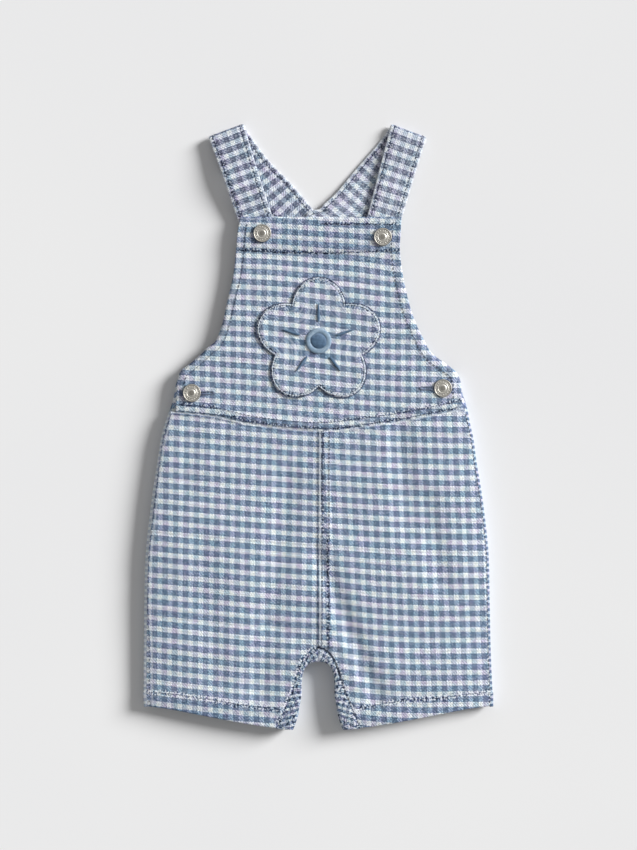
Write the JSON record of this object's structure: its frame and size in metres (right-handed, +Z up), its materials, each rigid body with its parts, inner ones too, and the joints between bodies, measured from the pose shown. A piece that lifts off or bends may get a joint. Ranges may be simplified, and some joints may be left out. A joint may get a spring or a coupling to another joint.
{
  "type": "baby's gingham bib shorts",
  "caption": "Baby's short overalls in woven cotton, laid flat: bib with a flower patch, open legs, crossed shoulder straps and metal buttons.",
  "frame": {"origin": "middle of the garment's outline, on the surface that it lies on", "axes": "+X to the right as the front is looked at from above, +Y from the leg hems to the shoulder straps, +Z up off the table"},
  "size_m": [0.2715, 0.4713, 0.0135],
  "materials": {
    "gingham_cotton": "yarn-dyed blue and white gingham, washed, matte with a soft nap",
    "strap_cotton": "the same gingham, doubled and topstitched, matte",
    "embroidery_thread": "slate blue satin stitch, soft sheen",
    "button_metal": "antique pewter-coloured plating, satin, darker in the recesses"
  },
  "bodies": {
    "root": {"front_leg_left": "gingham_cotton", "front_leg_right": "gingham_cotton", "back_leg_left": "gingham_cotton", "back_leg_right": "gingham_cotton", "back_waistband": "gingham_cotton", "bib": "gingham_cotton", "bib_patch": "gingham_cotton", "patch_centre": "embroidery_thread", "strap_left": "strap_cotton", "strap_right": "strap_cotton", "button_bib_left": "button_metal", "button_bib_right": "button_metal", "button_side_left": "button_metal", "button_side_right": "button_metal"}
  },
  "joints": []
}
